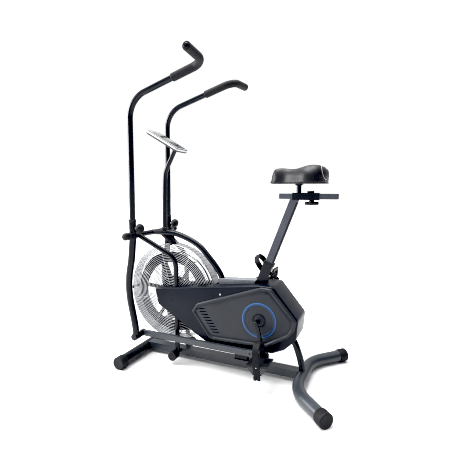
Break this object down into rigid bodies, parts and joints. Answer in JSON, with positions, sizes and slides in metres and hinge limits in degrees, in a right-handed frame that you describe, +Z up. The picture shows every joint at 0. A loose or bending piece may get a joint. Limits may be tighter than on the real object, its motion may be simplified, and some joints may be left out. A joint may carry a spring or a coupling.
{
  "type": "air bike",
  "caption": "Upright fan-braked exercise bike with swinging handlebar arms, link rods to the cranks, strapped pedals and a sliding saddle.",
  "frame": {"origin": "on the floor, under the centre of the overall footprint", "axes": "+X to the rear (saddle end), +Y to the rider's right, +Z up"},
  "size_m": [1.196, 0.6866, 1.5603],
  "materials": {
    "black_paint": "semi-gloss black powder coat",
    "grey_paint": "semi-gloss grey powder coat",
    "rubber": "matt black moulded rubber",
    "foam": "matt black foam grip",
    "case_plastic": "satin dark blue-grey moulding",
    "cover_plastic": "fine-textured charcoal moulding",
    "accent_plastic": "satin mid blue",
    "guard_chrome": "bright plated wire",
    "fan_paint": "satin black",
    "steel": "machined steel",
    "vinyl": "soft black vinyl",
    "console_shell": "silver-white moulding",
    "screen_plastic": "dark display window"
  },
  "bodies": {
    "frame": {"front_foot_tube": "black_paint", "rear_foot_tube": "black_paint", "front_foot_cap_left": "rubber", "rear_foot_cap_left": "rubber", "front_foot_cap_right": "rubber", "rear_foot_cap_right": "rubber", "base_rail": "black_paint", "foot_peg_bar": "black_paint", "foot_peg_left": "rubber", "foot_peg_right": "rubber", "cross_tube": "black_paint", "fork_tube_left": "black_paint", "fork_tube_right": "black_paint", "pivot_cap_left": "rubber", "pivot_cap_right": "rubber", "main_beam": "grey_paint", "hoop_tube": "black_paint", "seat_tube": "black_paint", "centre_bracket": "black_paint", "rear_leg": "black_paint", "case_left": "case_plastic", "case_right": "case_plastic", "crank_cover_left": "cover_plastic", "accent_ring_left": "accent_plastic", "crank_cover_right": "cover_plastic", "accent_ring_right": "accent_plastic", "guard_rim": "guard_chrome", "guard_left": "guard_chrome", "guard_right": "guard_chrome", "chain": "steel", "console_body": "console_shell", "console_screen": "screen_plastic", "console_post": "black_paint"},
    "crank_set": {"crank_axle": "steel", "chainring": "steel", "crank_arm_left": "black_paint", "crank_arm_right": "black_paint"},
    "fan": {"fan_wheel": "fan_paint", "fan_shaft": "steel", "fan_sprocket": "steel"},
    "left_pedal": {"pedal_left": "rubber", "pedal_strap_left": "rubber"},
    "right_pedal": {"pedal_right": "rubber", "pedal_strap_right": "rubber"},
    "left_arm": {"lower_arm_left": "black_paint", "upper_arm_left": "black_paint", "grip_left": "foam"},
    "right_arm": {"lower_arm_right": "black_paint", "upper_arm_right": "black_paint", "grip_right": "foam"},
    "left_arm_knob": {"arm_knob_left": "rubber"},
    "right_arm_knob": {"arm_knob_right": "rubber"},
    "left_rod": {"link_rod_left": "grey_paint"},
    "right_rod": {"link_rod_right": "grey_paint"},
    "seat_post_slide": {"seat_post": "black_paint"},
    "saddle_carriage": {"seat_carriage": "black_paint", "saddle": "vinyl"},
    "slide_knob_body": {"slide_knob": "rubber"},
    "seat_pin_body": {"seat_pin": "black_paint"},
    "console_button_body": {"console_button": "rubber"}
  },
  "joints": [
    {"name": "crank_spin", "type": "hinge", "parent": "frame", "child": "crank_set", "pos_m": [0.20446, 0, 0.32], "axis": [0, 1, 0], "continuous": true},
    {"name": "fan_spin", "type": "hinge", "parent": "frame", "child": "fan", "pos_m": [-0.32854, 0, 0.388], "axis": [0, 1, 0], "continuous": true},
    {"name": "left_pedal_spin", "type": "hinge", "parent": "crank_set", "child": "left_pedal", "pos_m": [0.24456, -0.19, 0.15274], "axis": [0, 1, 0], "continuous": true},
    {"name": "right_pedal_spin", "type": "hinge", "parent": "crank_set", "child": "right_pedal", "pos_m": [0.16436, 0.19, 0.48726], "axis": [0, 1, 0], "continuous": true},
    {"name": "left_arm_swing", "type": "hinge", "parent": "frame", "child": "left_arm", "pos_m": [-0.47654, -0.167, 0.713], "axis": [0, 1, 0], "range_deg": [-18, 18]},
    {"name": "right_arm_swing", "type": "hinge", "parent": "frame", "child": "right_arm", "pos_m": [-0.47654, 0.167, 0.713], "axis": [0, 1, 0], "range_deg": [-18, 18]},
    {"name": "left_rod_pivot", "type": "hinge", "parent": "left_arm", "child": "left_rod", "pos_m": [-0.47954, -0.108, 0.156], "axis": [0, 1, 0], "range_deg": [-18, 18]},
    {"name": "right_rod_pivot", "type": "hinge", "parent": "right_arm", "child": "right_rod", "pos_m": [-0.47954, 0.108, 0.156], "axis": [0, 1, 0], "range_deg": [-18, 18]},
    {"name": "seat_height", "type": "slide", "parent": "frame", "child": "seat_post_slide", "axis": [0.357, 0, 0.9341], "range_m": [-0.18, 0.04]},
    {"name": "saddle_slide", "type": "slide", "parent": "seat_post_slide", "child": "saddle_carriage", "axis": [1, 0, 0], "range_m": [-0.005, 0.075]},
    {"name": "slide_knob_turn", "type": "hinge", "parent": "saddle_carriage", "child": "slide_knob_body", "pos_m": [0.42746, 0, 0.88], "axis": [0, 0, 1], "continuous": true},
    {"name": "seat_pin_pull", "type": "slide", "parent": "frame", "child": "seat_pin_body", "axis": [0.9341, 0, -0.357], "range_m": [0, 0.012], "stiffness_N_per_m": 600},
    {"name": "left_arm_knob_turn", "type": "hinge", "parent": "left_arm", "child": "left_arm_knob", "pos_m": [-0.44654, -0.167, 0.752], "axis": [1, 0, 0], "continuous": true},
    {"name": "right_arm_knob_turn", "type": "hinge", "parent": "right_arm", "child": "right_arm_knob", "pos_m": [-0.44654, 0.167, 0.752], "axis": [1, 0, 0], "continuous": true},
    {"name": "console_button_press", "type": "slide", "parent": "frame", "child": "console_button_body", "axis": [-0.5, 0, -0.866], "range_m": [0, 0.0015], "stiffness_N_per_m": 300}
  ],
  "couplings": [
    {"joint": "fan_spin", "follows": "crank_spin", "ratio": 3.3846},
    {"joint": "right_arm_swing", "follows": "left_arm_swing", "ratio": -1},
    {"joint": "left_rod_pivot", "follows": "left_arm_swing", "ratio": -1},
    {"joint": "right_rod_pivot", "follows": "left_arm_swing", "ratio": 1}
  ]
}
